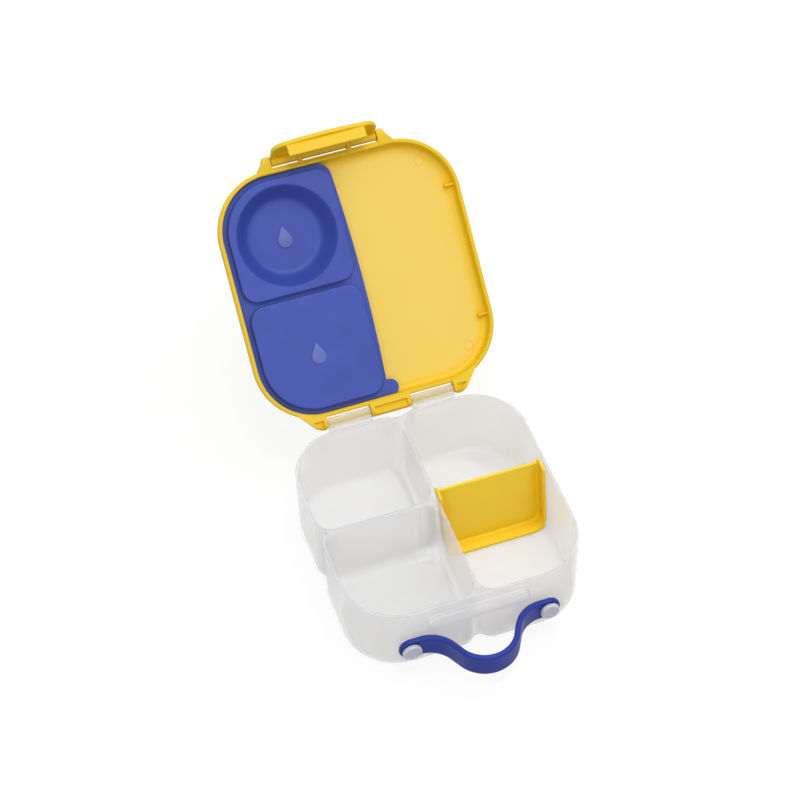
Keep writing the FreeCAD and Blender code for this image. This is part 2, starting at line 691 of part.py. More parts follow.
def make_latch():
    """Flap that hangs from its pin and hooks a bar under the catch."""
    outer = LATCH.y - LATCH_BARREL_R
    inner = outer + LATCH_THICK
    flap = prism(latch_outline(0, outer), Vector(0, LATCH_THICK, 0))
    for y in (outer, inner):
        flap = flap.makeFillet(LATCH_ROUND, latch_rim(flap, y))
    floor = inner - LATCH_RECESS
    recess = prism(latch_outline(LATCH_BORDER, floor), Vector(0, LATCH_RECESS + MARGIN, 0))
    recess = recess.makeFillet(LATCH_RECESS_ROUND, latch_rim(recess, floor))
    hook_y = -HALF - CATCH_PROUD + CATCH_HOOK
    bar = box(-LATCH_BAR_HALF, LATCH_BAR_HALF, floor - MARGIN, hook_y, BAR_BOTTOM, BAR_TOP)
    along = [e for e in bar.Edges if abs(e.Vertexes[0].Y - e.Vertexes[1].Y) > MARGIN]
    bar = bar.makeFillet(LATCH_BAR_CORNER, along)
    bar = bar.makeFillet(LATCH_BAR_ROUND, front_edges(bar, hook_y))
    body = flap.cut(recess).fuse([bar, rod_x(-LATCH_HALF, LATCH_HALF, LATCH, LATCH_BARREL_R)])
    reach = LUG_WIDTH / 2 + LATCH_PLAY
    gap = rod_x(LUG_X - reach, LUG_X + reach, LATCH, LATCH_BARREL_R + LATCH_PLAY)
    bore = rod_x(-LATCH_HALF - MARGIN, LATCH_HALF + MARGIN, LATCH, LATCH_PIN_R + PIN_RUNNING)
    return body.cut(both_sides(gap) + [bore]).removeSplitter()


def make_latch_pin():
    """Pin across the front of the lid that the latch turns on."""
    end = LATCH_HALF + SIDE_PLAY + LATCH_PLAY + LATCH_PIN_GRIP
    return rod_x(-end, end, LATCH, LATCH_PIN_R)


def divider_outline(inset, z_low, z_high):
    """Section across the right tub that the divider fills, drawn in all round but the top."""
    gap = DIVIDER_CLEAR + inset
    taper = math.tan(math.radians(DIVIDER_TAPER))
    corners = []
    for x, to_x, heights in ((RIGHT_START, 1, (z_high, z_low)), (INNER, -1, (z_low, z_high))):
        for z in heights:
            corners.append(Vector(x + to_x * ((TRAY_HEIGHT - z) * taper + gap), -TRAY_SIDE, z))
    body = polygon(corners, Vector(0, 2 * TRAY_SIDE, 0))
    return body.makeFillet(DIVIDER_CORNER - inset, edges_at_corner(body, z_low))


def edges_at_corner(shape, z):
    """Long edges along Y at one height."""
    return [e for e in edges_at(shape, z) if abs(e.Vertexes[0].Y - e.Vertexes[1].Y) > TRAY_SIDE]


def leaning_slab(y_front, y_back, z_low, z_high):
    """Slab across the box whose faces lean back, placed by where they meet its foot."""
    shift = (z_high - z_low) * math.tan(math.radians(DIVIDER_LEAN))
    outline = [
        Vector(-TRAY_SIDE, y_front, z_low),
        Vector(-TRAY_SIDE, y_back, z_low),
        Vector(-TRAY_SIDE, y_back + shift, z_high),
        Vector(-TRAY_SIDE, y_front + shift, z_high),
    ]
    return polygon(outline, Vector(2 * TRAY_SIDE, 0, 0))


def plate_edges(shape, y_foot, z_low):
    """Edges along the leaning face that starts at a place of the foot, apart from its top edge."""
    slope = math.tan(math.radians(DIVIDER_LEAN))
    chosen = []
    for edge in shape.Edges:
        ends = [v.Point for v in edge.Vertexes]
        on_face = all(abs(p.y - y_foot - (p.z - z_low) * slope) < EDGE_TOLERANCE for p in ends)
        if on_face and min(p.z for p in ends) < TRAY_HEIGHT - DIVIDER_TOP_DROP:
            chosen.append(edge)
    return chosen


def make_divider():
    """Lift-out divider: a leaning plate with a flange at its foot and both sides."""
    z_low = FLOOR + DIVIDER_SEAT
    z_high = TRAY_HEIGHT - PRONG_DROP
    front = DIVIDER_FOOT_Y - DIVIDER_DEPTH
    shell = divider_outline(0, z_low, z_high).common(leaning_slab(front, DIVIDER_FOOT_Y, z_low, z_high))
    inside = divider_outline(DIVIDER_WALL, z_low + DIVIDER_WALL, z_high + MARGIN)
    tall = TRAY_HEIGHT + MARGIN
    plate = DIVIDER_FOOT_Y - DIVIDER_WALL
    hollow = inside.common(leaning_slab(front - MARGIN, plate, z_low, tall))
    hollow = hollow.makeFillet(DIVIDER_FILLET, plate_edges(hollow, plate, z_low))
    above = box(-TRAY_SIDE, TRAY_SIDE, -TRAY_SIDE, TRAY_SIDE, TRAY_HEIGHT - DIVIDER_TOP_DROP, tall)
    divider = shell.cut([hollow, inside.common(above)]).removeSplitter()
    return divider.makeFillet(PRONG_ROUND, edges_at(divider, z_high))


def strap_side(offset):
    """Points of the strap's right half from its middle to its end, moved off its middle line."""
    level = STRAP_BACK - STRAP_THICK / 2
    outer = Vector(0, level - STRAP_BOW + STRAP_BEND_OUTER, 0)
    inner = Vector(STUD_X - STRAP_FLAT, level - STRAP_BEND_WALL, 0)
    bends = STRAP_BEND_OUTER + STRAP_BEND_WALL
    way = inner - outer
    run = math.sqrt(way.Length ** 2 - bends ** 2)
    slope = math.atan2(way.y, way.x) + math.atan2(bends, run)
    aside = Vector(math.sin(slope), -math.cos(slope), 0)
    outer_r = STRAP_BEND_OUTER - offset
    inner_r = STRAP_BEND_WALL + offset
    half = Vector(math.sin(slope / 2), -math.cos(slope / 2), 0)
    return [
        outer + Vector(0, -outer_r, 0),
        outer + half * outer_r,
        outer + aside * outer_r,
        inner - aside * inner_r,
        inner - half * inner_r,
        inner + Vector(0, inner_r, 0),
        Vector(STUD_X + STRAP_END, level + offset, 0),
    ]


def strap_edges(points):
    """Edges of one half of the strap's outline."""
    return [
        arc(points[0], points[1], points[2]),
        line(points[2], points[3]),
        arc(points[3], points[4], points[5]),
        line(points[5], points[6]),
    ]


def strap_front():
    """Space of the strap seen from the front: wider in the middle, and round at both ends."""
    end = STRAP_END / 2
    middle = STRAP_MIDDLE / 2
    edges = []
    for way in (-1, 1):
        low = Vector(way * STUD_X, 0, STUD_Z - end)
        high = Vector(way * STUD_X, 0, STUD_Z + end)
        edges.append(arc(low, Vector(way * (STUD_X + end), 0, STUD_Z), high))
        left = Vector(-STUD_X, 0, STUD_Z + way * end)
        right = Vector(STUD_X, 0, STUD_Z + way * end)
        edges.append(arc(left, Vector(0, 0, STUD_Z + way * middle), right))
    return prism(edges, Vector(0, -TRAY_SIDE, 0))


def make_strap():
    """Soft strap that bows out between the two studs, with a round eye at each end."""
    outer, inner = strap_side(-STRAP_THICK / 2), strap_side(STRAP_THICK / 2)
    edges = []
    for points in (outer, inner):
        other = [Vector(-p.x, p.y, p.z) for p in points]
        edges += strap_edges(points) + strap_edges(other)
    ends = (outer[-1], inner[-1])
    edges.append(line(*ends))
    edges.append(line(*[Vector(-p.x, p.y, p.z) for p in ends]))
    band = prism(edges, Vector(0, 0, STRAP_MIDDLE))
    band.translate(Vector(0, 0, STUD_Z - STRAP_MIDDLE / 2))
    eyes = []
    for side in (-1, 1):
        eyes.append(rod_y(-TRAY_SIDE, 0, side * STUD_X, STUD_Z, BOSS_R + STRAP_PLAY))
    return band.common(strap_front()).cut(eyes).removeSplitter()


def make_stud(side):
    """Press-in stud whose round, dished head holds one end of the strap."""
    back = STRAP_FRONT - STRAP_PLAY
    front = back - STUD_HEAD
    floor = front + STUD_DISH
    head = rod_y(front, back, side * STUD_X, STUD_Z, STUD_HEAD_R)
    head = head.makeFillet(STUD_ROUND, front_edges(head, front))
    dish = rod_y(front - MARGIN, floor, side * STUD_X, STUD_Z, STUD_HEAD_R - STUD_RIM)
    dish = dish.makeFillet(STUD_DISH_ROUND, front_edges(dish, floor))
    shank = rod_y(back, back + STUD_SHANK, side * STUD_X, STUD_Z, STUD_SHANK_R)
    return head.cut(dish).fuse(shank).removeSplitter()


def swung(shape, angle, axis):
    """A copy turned about an axis along X, so that the front of the lid goes up and back."""
    copy = shape.copy()
    copy.rotate(axis, Vector(1, 0, 0), -angle)
    return copy


def build():
    """Every piece by name, with the lid open, standing on the ground about the middle of the whole."""
    lid_group = {"lid": make_lid(), "seal": make_seal(), "latch_pin": make_latch_pin()}
    lid_group.update(make_hinge_pins())
    lid_group["latch"] = swung(make_latch(), LATCH_SWING, LATCH)
    pieces = {
        "tray": make_tray(),
        "divider": make_divider(),
        "handle_strap": make_strap(),
        "handle_stud_left": make_stud(-1),
        "handle_stud_right": make_stud(1),
    }
    for name, shape in lid_group.items():
        pieces[name] = swung(shape, OPEN_ANGLE, HINGE)
    whole = Part.makeCompound(list(pieces.values())).optimalBoundingBox(False, False)
    move = Vector(0, -(whole.YMin + whole.YMax) / 2, 0)
    for shape in pieces.values():
        shape.translate(move)
    turn = FreeCAD.Rotation(Vector(1, 0, 0), -OPEN_ANGLE)
    places = {
        "hinge axis": HINGE + move,
        "latch axis": HINGE + turn.multVec(LATCH - HINGE) + move,
        "seal way out": turn.multVec(Vector(0, 0, -1)),
        "strap axis": Vector(0, STRAP_BACK - STRAP_THICK / 2, STUD_Z) + move,
        "tray middle": move,
    }
    return pieces, places


pieces, places = build()
os.makedirs("parts", exist_ok=True)
for name, shape in pieces.items():
    shape.exportStep("parts/" + name + ".step")
    size = shape.optimalBoundingBox(False, False)
    corners = [round(v, 2) for v in (size.XMin, size.XMax, size.YMin, size.YMax, size.ZMin, size.ZMax)]
    print(name, shape.ShapeType, len(shape.Solids), shape.isValid(), round(shape.Volume), corners)
for name, place in places.items():
    print(name, [round(v, 4) for v in place])
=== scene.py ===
import json
import math

import bmesh
import bpy
from mathutils import Matrix, Vector


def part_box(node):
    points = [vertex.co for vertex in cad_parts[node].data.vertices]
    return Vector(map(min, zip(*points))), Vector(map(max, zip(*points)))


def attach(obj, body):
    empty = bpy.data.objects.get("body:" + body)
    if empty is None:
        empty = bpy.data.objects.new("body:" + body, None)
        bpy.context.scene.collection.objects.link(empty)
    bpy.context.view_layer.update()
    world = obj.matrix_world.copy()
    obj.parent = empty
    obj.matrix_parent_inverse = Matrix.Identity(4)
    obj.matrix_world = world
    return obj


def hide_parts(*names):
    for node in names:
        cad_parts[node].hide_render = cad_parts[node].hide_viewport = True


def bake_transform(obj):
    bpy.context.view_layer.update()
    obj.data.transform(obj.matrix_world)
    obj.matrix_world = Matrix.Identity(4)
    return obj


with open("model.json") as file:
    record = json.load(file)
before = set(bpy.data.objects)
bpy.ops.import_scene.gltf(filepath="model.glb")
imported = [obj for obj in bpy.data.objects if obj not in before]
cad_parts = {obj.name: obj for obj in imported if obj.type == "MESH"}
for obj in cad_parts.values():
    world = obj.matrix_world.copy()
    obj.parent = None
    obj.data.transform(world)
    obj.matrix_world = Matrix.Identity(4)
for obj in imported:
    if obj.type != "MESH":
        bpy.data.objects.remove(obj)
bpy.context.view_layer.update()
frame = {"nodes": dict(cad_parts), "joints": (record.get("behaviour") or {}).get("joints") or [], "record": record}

MM = 0.001

# Camera: angles in degrees, and its place relative to the middle of the tray's rim
CAMERA_AZIMUTH = -17.9706
CAMERA_ELEVATION = 49.2312
CAMERA_ROLL = -1.7757
CAMERA_LENS = 111.766
CAMERA_SENSOR = 36.0
CAMERA_FROM_RIM = Vector((-328.185, -944.018, 1260.506)) * MM
CLIP_END = 20.0

# Light: each lamp's place, its side and its power
LAMP_AIM = Vector((0.0, 0.0, 0.06))
KEY = (Vector((0.65, 0.0, 1.8)), 1.0, 8.4)
TOP = (Vector((0.0, -0.45, 1.9)), 0.4, 8.0)
FRONT = (Vector((-0.4, -1.7, 1.3)), 1.6, 4.0)
BACK = (Vector((0.3, 1.7, 1.0)), 1.6, 6.0)
WORLD_LIGHT = 0.72
BACKDROP_WHITE = 1.0

# Floor: its side, how far it shines by itself, and its colour to the eye and to other surfaces
FLOOR_SIDE = 8.0
FLOOR_GLOW = 0.85
FLOOR_SEEN = (0.92, 0.92, 0.92, 1.0)
FLOOR_BOUNCE = (0.36, 0.36, 0.36, 1.0)

# Lid: planes of its parts when it is closed on the tray, and the middles of the seal's two pads
RIM_Z = 55.0 * MM
PANEL_Z = 59.0 * MM
PAD_FACE_Z = 51.0 * MM
BOWL_FLOOR_Z = 63.3 * MM
BOWL_MIDDLE = Vector((-38.7, -39.2)) * MM
REAR_MIDDLE = Vector((-38.7, 41.0)) * MM

# Tray: its outside, its rim and catch with their lines of painted shade, the barrels of its hinge with the pins'
# painted yellow, and the post where the tubs meet, painted lighter
TRAY_HALF = 79.8 * MM
RIM_LINE = 0.9 * MM
BARREL_R = 3.25 * MM
BARREL_FADE = 1.2 * MM
CATCH_HALF = 34.0 * MM
CATCH_Z = (36.5 * MM, 47.5 * MM)
CATCH_CORNER = 5.0 * MM
CATCH_LINE = 0.9 * MM
CATCH_PROUD = (0.2 * MM, 0.6 * MM)
ANY_DEPTH = 1.0
POST_R = 5.0 * MM
POST_FADE = 9.0 * MM

# Strap, bent as its solid is
STRAP_THICK = 4.0 * MM
STRAP_END = 15.6 * MM
STRAP_BEND_OUTER = 21.0 * MM
STRAP_BEND_WALL = 21.0 * MM
STRAP_FLAT = 6.0 * MM
STRAP_EYE_R = 3.8 * MM
STRAP_EDGE = 1.6 * MM
STRAP_EDGE_STEPS = 4
STRAP_EDGE_ROUND = 0.5
STRAP_PITCH = 1.5 * MM
EYE_STEP = math.radians(7.5)
EYE_RINGS = 4

# Water-drop marks on the seal
DROP_LENGTH = 15.0 * MM
DROP_R = 5.0 * MM
DROP_COVER = 0.06 * MM
DROP_HEIGHT = 0.68 * MM
DROP_ROUND = 0.3 * MM
DROP_ROUND_MIDDLE = 0.3 * DROP_ROUND
DROP_ROOT = 0.2 * MM
DROP_STEPS = 40

# Ejector marks on the panel, from the middle of the closed lid: section in shares of width and height
EJECTORS = (Vector((62.5, -65.7)) * MM, Vector((63.8, 63.1)) * MM)
EJECTOR_R = 3.0 * MM
EJECTOR_WIDTH = 0.35 * MM
EJECTOR_PROUD = 0.25 * MM
EJECTOR_SECTION = ((0.0, 0.0), (0.25, 1.0), (0.75, 1.0), (1.0, 0.0), (0.5, -1.0))
EJECTOR_STEPS = 48

# Noise: the part of its values that is used, its detail, and the cells per metre of patches of roughness
NOISE_RANGE = (0.3, 0.7)
FINE_DETAIL = 3.0
BROAD_DETAIL = 1.0
ROUGH_PATCHES = 60.0
GRAIN_STRENGTH = 0.35
GRAIN_DEPTH = 0.03 * MM

# Yellow plastic: how far it looks for walls round it, and the open share that is deep and pale, for its painted
# shade in corners and recesses
YELLOW_SHADE_REACH = 9.0 * MM
YELLOW_SHADE_FADE = (0.68, 0.98)
SHADE_SAMPLES = 16
PANEL_EDGE = (0.3 * MM, 0.8 * MM)
YELLOW_CLOUDS = 22.0
YELLOW_CLOUD_SHARE = 0.1
YELLOW_GRAIN = 2600.0
YELLOW_ROUGH = (0.34, 0.44)
YELLOW_SPECULAR = 0.25

# Silicone: its clouds and grain, and how deep and how wide the wall of the bowl is that carries painted shade
SILICONE_CLOUDS = 45.0
SILICONE_SHADES = (0.93, 1.08)
SILICONE_GRAIN = 3200.0
SILICONE_ROUGH = (0.42, 0.52)
SILICONE_SPECULAR = 0.35
BOWL_MOUTH_FADE = (0.3 * MM, 2.0 * MM)
BOWL_FLOOR_FADE = (7.0 * MM, 12.2 * MM)
BOWL_REACH = (35.5 * MM, 36.5 * MM)

# Milky plastic: its clouds and waves, and the share of its surface that hides what is behind it
MILKY_CLOUDS = 18.0
MILKY_SHADES = (0.985, 1.015)
MILKY_WAVES = 25.0
MILKY_WAVE_STRENGTH = 0.1
MILKY_WAVE_DEPTH = 0.2 * MM
MILKY_ROUGH = (0.08, 0.13)
MILKY_IOR = 1.5
MILKY_SPECULAR = 0.8
MILKY_SCATTER = 6.0 * MM
BARREL_MATT = 0.45
TRAY_ALPHA = 0.42
POST_ALPHA = 0.24
STUD_ALPHA = 0.8

# Colours, linear
YELLOW = (0.750, 0.495, 0.016, 1.0)
# Painted light: the thin panel painted paler for the light shining through it
YELLOW_PANEL_BACKLIT = (0.815, 0.582, 0.112, 1.0)
# Deeper yellow: a tenth of it clouds the colour at random, and it is the painted shade in corners and recesses
YELLOW_DEEP_AND_SHADE = (0.850, 0.535, 0.002, 1.0)
# Painted light: a lighter copy of the yellow, making up for the light the divider's front-facing plate lacks
YELLOW_DIVIDER_LIT = (0.900, 0.625, 0.038, 1.0)
BLUE_SEAL = (0.045, 0.076, 0.375, 1.0)
# Painted shade on the wall of the seal's bowl
BLUE_BOWL_SHADE = (0.033, 0.059, 0.325, 1.0)
BLUE_STRAP = (0.011, 0.029, 0.290, 1.0)
BLUE_MARK = (0.110, 0.145, 0.430, 1.0)
FROSTED = (0.925, 0.912, 0.900, 1.0)
# Painted shade: a cooler, darker line along the rim's top and round the catch
FROSTED_EDGE_SHADE = (0.640, 0.640, 0.690, 1.0)
# Painted light: yellow light of the pins seen through the barrels, painted on them
FROSTED_BARREL_PIN_TINT = (0.930, 0.760, 0.430, 1.0)
# Painted light: a brighter, warmer colour on the thick post where the tubs meet
FROSTED_POST_LIT = (1.000, 0.975, 0.940, 1.0)
# Painted shade: the studs greyer and bluer for the strap seen through them
FROSTED_STUD_SHADED = (0.680, 0.690, 0.850, 1.0)
WHITE = (1.0, 1.0, 1.0, 1.0)


def joint(name):
    """The frame's joint of that name."""
    return next(j for j in frame["joints"] if j["name"] == name)


HINGE = Vector(joint("lid_hinge")["pos_m"])
CLOSING = math.radians(joint("lid_hinge")["range_deg"][0])
INWARD = Vector(joint("seal_pull")["axis"]).normalized()
TRAY_Y = frame["record"]["mounts"][0]["pos_m"][1]
TRAY_MIDDLE = Vector((0, TRAY_Y, 0))
to_hinge = Matrix.Translation(HINGE)
turn_open = Matrix.Rotation(-CLOSING, 4, Vector(joint("lid_hinge")["axis"]))
CLOSED_TO_REST = to_hinge @ turn_open @ to_hinge.inverted() @ Matrix.Translation(TRAY_MIDDLE)


def add_node(tree, kind, inputs=None, **settings):
    """A new shader node, with values or links on its sockets."""
    made = tree.nodes.new(kind)
    for key, value in settings.items():
        setattr(made, key, value)
    for key, value in (inputs or {}).items():
        if isinstance(value, bpy.types.NodeSocket):
            tree.links.new(value, made.inputs[key])
        else:
            made.inputs[key].default_value = value
    return made


def new_material(name):
    """A node material with its tree and its main shader."""
    material = bpy.data.materials.new(name)
    material.use_nodes = True
    tree = material.node_tree
    return material, tree, tree.nodes["Principled BSDF"]


def place_of(tree):
    """Position on the object, which stays with it when it moves."""
    return add_node(tree, "ShaderNodeTexCoord").outputs["Object"]


def noise(tree, place, cells, detail=FINE_DETAIL):
    """Soft noise of that many cells per metre."""
    inputs = {"Vector": place, "Scale": cells, "Detail": detail}
    return add_node(tree, "ShaderNodeTexNoise", inputs).outputs["Fac"]


def spread(tree, value, low, high, start, end):
    """The value stretched from start and end to low and high, and held there."""
    inputs = {"Value": value, "From Min": start, "From Max": end, "To Min": low, "To Max": high}
    return add_node(tree, "ShaderNodeMapRange", inputs).outputs["Result"]


def clouds(tree, place, cells, low, high, detail=FINE_DETAIL):
    """Soft noise between low and high."""
    return spread(tree, noise(tree, place, cells, detail), low, high, *NOISE_RANGE)


def mixed(tree, factor, first, second):
    """A colour between two colours."""
    return add_node(tree, "ShaderNodeMix", {0: factor, 6: first, 7: second}, data_type="RGBA").outputs[2]


def shaded(colour, factor):
    """The colour made darker or lighter."""
    return (*(min(1.0, c * factor) for c in colour[:3]), 1.0)


def vector_math(tree, operation, first, second=None, output=0):
    """Result of one step of vector arithmetic."""
    inputs = {0: first}
    if second is not None:
        inputs[1] = second
    return add_node(tree, "ShaderNodeVectorMath", inputs, operation=operation).outputs[output]


def math_of(tree, operation, first, second):
    """Result of one step of arithmetic."""
    return add_node(tree, "ShaderNodeMath", {0: first, 1: second}, operation=operation).outputs[0]


def height_over(tree, place, point, normal):
    """Distance from a plane, along its normal."""
    away = vector_math(tree, "SUBTRACT", place, point)
    return vector_math(tree, "DOT_PRODUCT", away, normal, output="Value")


def reach_from(tree, place, point, across):
    """Distance from a point, along the axes that across names."""
    away = vector_math(tree, "SUBTRACT", place, point)
    return vector_math(tree, "LENGTH", vector_math(tree, "MULTIPLY", away, across), output="Value")


def finish_surface(tree, shader, place, grain, rough):
    """Fine moulded grain: bump, and roughness that changes a little from place to place."""
    inputs = {"Height": noise(tree, place, grain), "Strength": GRAIN_STRENGTH, "Distance": GRAIN_DEPTH}
    bump = add_node(tree, "ShaderNodeBump", inputs)
    tree.links.new(bump.outputs["Normal"], shader.inputs["Normal"])
    tree.links.new(clouds(tree, place, ROUGH_PATCHES, *rough), shader.inputs["Roughness"])


def yellow_plastic(name, colour, backlit_panel_colour):
    """Moulded yellow plastic, pale where it lies open, with painted shade deepening it in corners and recesses,
    and a paler panel that is painted light.
    """
    material, tree, shader = new_material(name)
    place = place_of(tree)
    settings = {"samples": SHADE_SAMPLES, "only_local": True}
    # Painted shade: ambient occlusion deepens the colour in corners, creases and recesses
    shade_node = add_node(tree, "ShaderNodeAmbientOcclusion", {"Distance": YELLOW_SHADE_REACH}, **settings)
    # Painted light: the panel painted paler for light shining through it, turning to the wall's colour just off it
    height = height_over(tree, place, CLOSED_TO_REST @ Vector((0, 0, PANEL_Z)), INWARD)
    raised = spread(tree, height, 0.0, 1.0, *PANEL_EDGE)
    cloud = clouds(tree, place, YELLOW_CLOUDS, 0.0, YELLOW_CLOUD_SHARE)
    outside = mixed(tree, cloud, mixed(tree, raised, backlit_panel_colour, colour), YELLOW_DEEP_AND_SHADE)
    unshaded = spread(tree, shade_node.outputs["AO"], 0.0, 1.0, *YELLOW_SHADE_FADE)
    tree.links.new(mixed(tree, unshaded, YELLOW_DEEP_AND_SHADE, outside), shader.inputs["Base Color"])
    finish_surface(tree, shader, place, YELLOW_GRAIN, YELLOW_ROUGH)
    shader.inputs["Specular IOR Level"].default_value = YELLOW_SPECULAR
    return material


def silicone(name, colour):
    """Satin silicone rubber with a faint cloudiness."""
    material, tree, shader = new_material(name)
    place = place_of(tree)
    cloud = clouds(tree, place, SILICONE_CLOUDS, 0.0, 1.0)
    dark, light = (shaded(colour, factor) for factor in SILICONE_SHADES)
    tree.links.new(mixed(tree, cloud, dark, light), shader.inputs["Base Color"])
    finish_surface(tree, shader, place, SILICONE_GRAIN, SILICONE_ROUGH)
    shader.inputs["Specular IOR Level"].default_value = SILICONE_SPECULAR
    return material, tree, shader


def seal_silicone():
    """The seal's silicone, with painted shade darkening the wall of the bowl."""
    material, tree, shader = silicone("blue_seal", BLUE_SEAL)
    place = place_of(tree)
    mouth = CLOSED_TO_REST @ Vector((*BOWL_MIDDLE, PAD_FACE_Z))
    depth = height_over(tree, place, mouth, -INWARD)
    below_mouth = spread(tree, depth, 0.0, 1.0, *BOWL_MOUTH_FADE)
    over_floor = spread(tree, depth, 1.0, 0.0, *BOWL_FLOOR_FADE)
    away = vector_math(tree, "SUBTRACT", place, mouth)
    reach = vector_math(tree, "LENGTH", vector_math(tree, "CROSS_PRODUCT", away, INWARD), output="Value")
    inside = spread(tree, reach, 1.0, 0.0, *BOWL_REACH)
    # Painted shade: the bowl's wall, below its mouth and above its floor, painted darker
    wall = math_of(tree, "MULTIPLY", math_of(tree, "MULTIPLY", below_mouth, over_floor), inside)
    mottled = shader.inputs["Base Color"].links[0].from_socket
    tree.links.new(mixed(tree, wall, mottled, BLUE_BOWL_SHADE), shader.inputs["Base Color"])
    return material


def milky(name, colour):
    """Milky plastic that scatters light, with faint clouds and waves."""
    material, tree, shader = new_material(name)
    place = place_of(tree)
    cloud = clouds(tree, place, MILKY_CLOUDS, 0.0, 1.0, BROAD_DETAIL)
    dark, light = (shaded(colour, factor) for factor in MILKY_SHADES)
    tree.links.new(mixed(tree, cloud, dark, light), shader.inputs["Base Color"])
    waves = noise(tree, place, MILKY_WAVES, BROAD_DETAIL)
    inputs = {"Height": waves, "Strength": MILKY_WAVE_STRENGTH, "Distance": MILKY_WAVE_DEPTH}
    tree.links.new(add_node(tree, "ShaderNodeBump", inputs).outputs["Normal"], shader.inputs["Normal"])
    rough = clouds(tree, place, ROUGH_PATCHES, *MILKY_ROUGH, BROAD_DETAIL)
    tree.links.new(rough, shader.inputs["Roughness"])
    shader.inputs["IOR"].default_value = MILKY_IOR
    shader.inputs["Specular IOR Level"].default_value = MILKY_SPECULAR
    shader.inputs["Subsurface Weight"].default_value = 1.0
    shader.inputs["Subsurface Radius"].default_value = (1.0, 1.0, 1.0)
    shader.inputs["Subsurface Scale"].default_value = MILKY_SCATTER
    return material, tree, shader


def catch_shade_line(tree, place):
    """Mask of a line of painted shade along the outline of the catch at any depth, where it stands out of the
    front wall.
    """
    low, high = CATCH_Z
    middle = Vector((0, 0, (low + high) / 2))
    straight = Vector((CATCH_HALF - CATCH_CORNER, ANY_DEPTH, (high - low) / 2 - CATCH_CORNER))
    away = vector_math(tree, "ABSOLUTE", vector_math(tree, "SUBTRACT", place, middle))
    corner = vector_math(tree, "MAXIMUM", vector_math(tree, "SUBTRACT", away, straight), Vector())
    reach = vector_math(tree, "LENGTH", corner, output="Value")
    inside = spread(tree, reach, 0.0, 1.0, CATCH_CORNER - CATCH_LINE, CATCH_CORNER - CATCH_LINE / 2)
    outside = spread(tree, reach, 1.0, 0.0, CATCH_CORNER, CATCH_CORNER + CATCH_LINE / 2)
    front = height_over(tree, place, Vector((0, TRAY_Y - TRAY_HALF, 0)), Vector((0, -1, 0)))
    proud = spread(tree, front, 0.0, 1.0, *CATCH_PROUD)
    return math_of(tree, "MULTIPLY", math_of(tree, "MULTIPLY", inside, outside), proud)


def frosted_tray():
    """Milky plastic with cooler edges of painted shade, a clearer post painted lighter, and painted yellow on the
    barrels where the pins show through.
    """
    material, tree, shader = milky("frosted_tray", FROSTED)
    place = place_of(tree)
    top = height_over(tree, place, Vector((0, 0, RIM_Z)), Vector((0, 0, 1)))
    rim = spread(tree, top, 0.0, 1.0, -RIM_LINE, -RIM_LINE / 3)
    # Painted shade: darker lines along the rim's top and round the catch
    edges = math_of(tree, "MAXIMUM", rim, catch_shade_line(tree, place))
    edge_shaded = mixed(tree, edges, shader.inputs["Base Color"].links[0].from_socket, FROSTED_EDGE_SHADE)
    # Painted light: the barrels tinted yellow for the pins seen through them
    from_hinge = reach_from(tree, place, HINGE, (0, 1, 1))
    barrel = spread(tree, from_hinge, 1.0, 0.0, BARREL_R, BARREL_R + BARREL_FADE)
    # Painted light on the post where the tubs meet, which is also made clearer
    from_post = reach_from(tree, place, TRAY_MIDDLE, (1, 1, 0))
    post = spread(tree, from_post, 1.0, 0.0, POST_R, POST_R + POST_FADE)
    light = mixed(tree, post, edge_shaded, FROSTED_POST_LIT)
    tree.links.new(mixed(tree, barrel, light, FROSTED_BARREL_PIN_TINT), shader.inputs["Base Color"])
    gloss = shader.inputs["Roughness"].links[0].from_socket
    matt = math_of(tree, "MULTIPLY", barrel, BARREL_MATT)
    tree.links.new(math_of(tree, "MAXIMUM", gloss, matt), shader.inputs["Roughness"])
    tree.links.new(spread(tree, post, TRAY_ALPHA, POST_ALPHA, 0.0, 1.0), shader.inputs["Alpha"])
    return material


def frosted_stud():
    """Milky plastic of the studs, painted greyer and bluer: shade and colour from the strap behind it."""
    material, _, shader = milky("frosted_stud", FROSTED_STUD_SHADED)
    shader.inputs["Alpha"].default_value = STUD_ALPHA
    return material


def dress(node, material):
    """Gives a CAD node its finish."""
    for each in frame["nodes"][node].material_slots:
        each.material = material


def mesh_object(name, points, faces, material):
    """A mesh from points and faces, smooth and with its normals outward."""
    made = bmesh.new()
    corners = [made.verts.new(p) for p in points]
    for face in faces:
        made.faces.new([corners[i] for i in face])
    return from_bmesh(name, made, material)


def from_bmesh(name, made, material):
    """An object from a bmesh, smooth and with its normals outward."""
    bmesh.ops.recalc_face_normals(made, faces=made.faces)
    mesh = bpy.data.meshes.new(name)
    made.to_mesh(mesh)
    made.free()
    mesh.shade_smooth()
    mesh.materials.append(material)
    obj = bpy.data.objects.new(name, mesh)
    bpy.context.scene.collection.objects.link(obj)
    return obj


